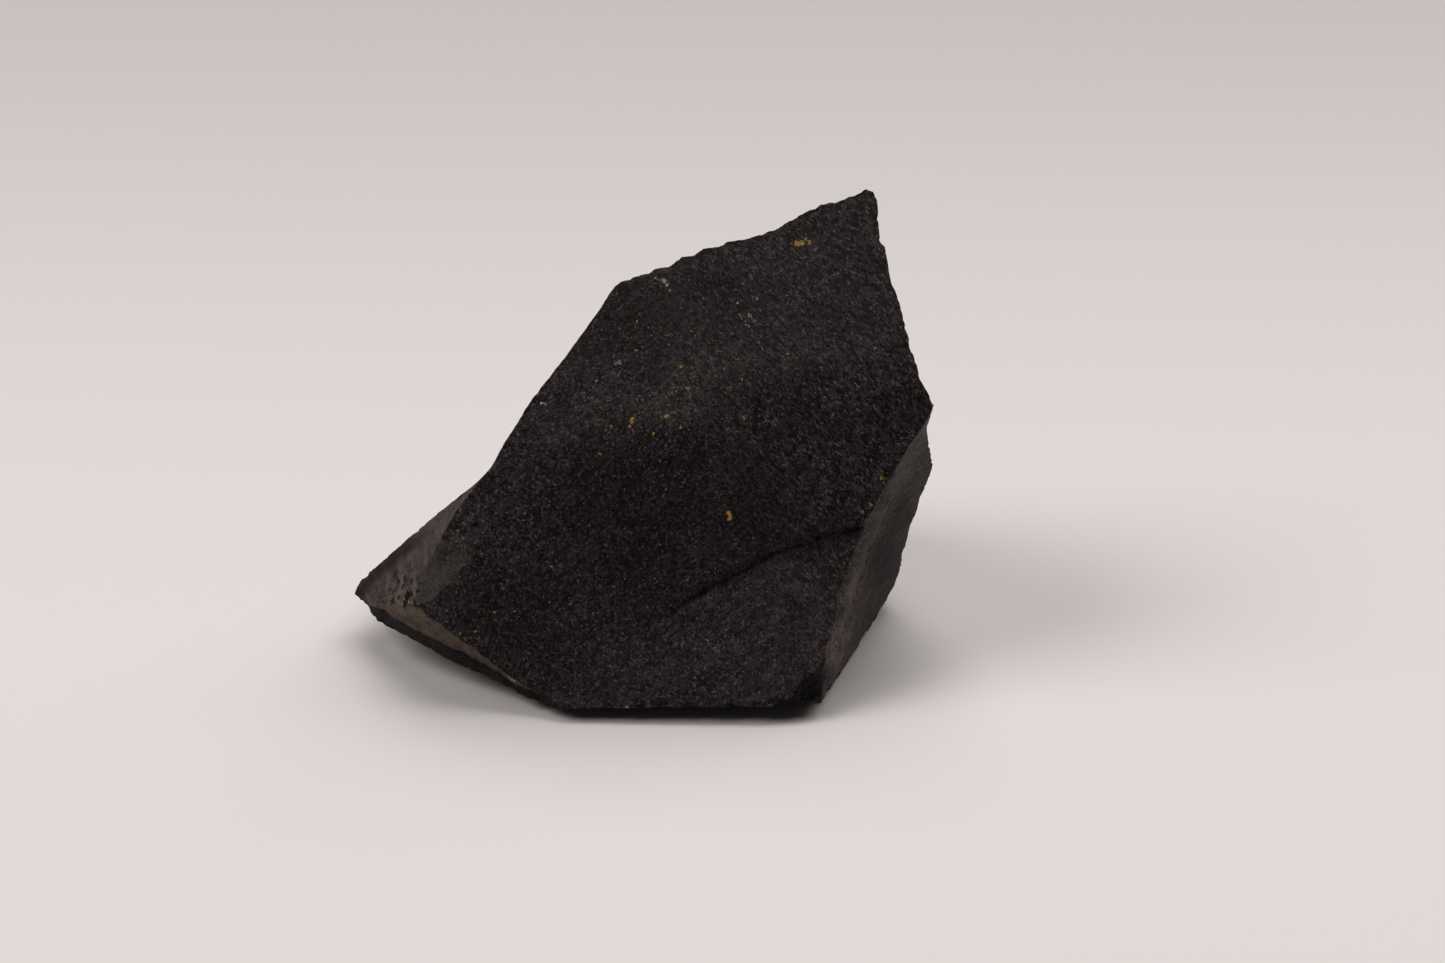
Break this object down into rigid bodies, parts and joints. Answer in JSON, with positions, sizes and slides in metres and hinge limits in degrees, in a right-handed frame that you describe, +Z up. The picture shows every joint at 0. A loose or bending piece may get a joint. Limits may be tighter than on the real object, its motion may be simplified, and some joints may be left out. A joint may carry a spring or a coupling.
{
  "type": "jasper hand specimen",
  "caption": "Broken lump of black jasper with a large leaning split face, a small ledge, sharp edges and a pointed top, resting on a small flat underside",
  "frame": {"origin": "middle of the bounding box in plan, on the ground that the stone rests on", "axes": "+Z is up, -Y is the side of the large leaning split face, +X is the side of the pointed right end of that face, seen from the front"},
  "size_m": [0.0686, 0.048, 0.0529],
  "materials": {
    "jasper": "matte, very fine-grained broken surface, near black with a faint violet-brown cast and a few ochre specks"
  },
  "bodies": {
    "root": {"stone": "jasper"}
  },
  "joints": []
}
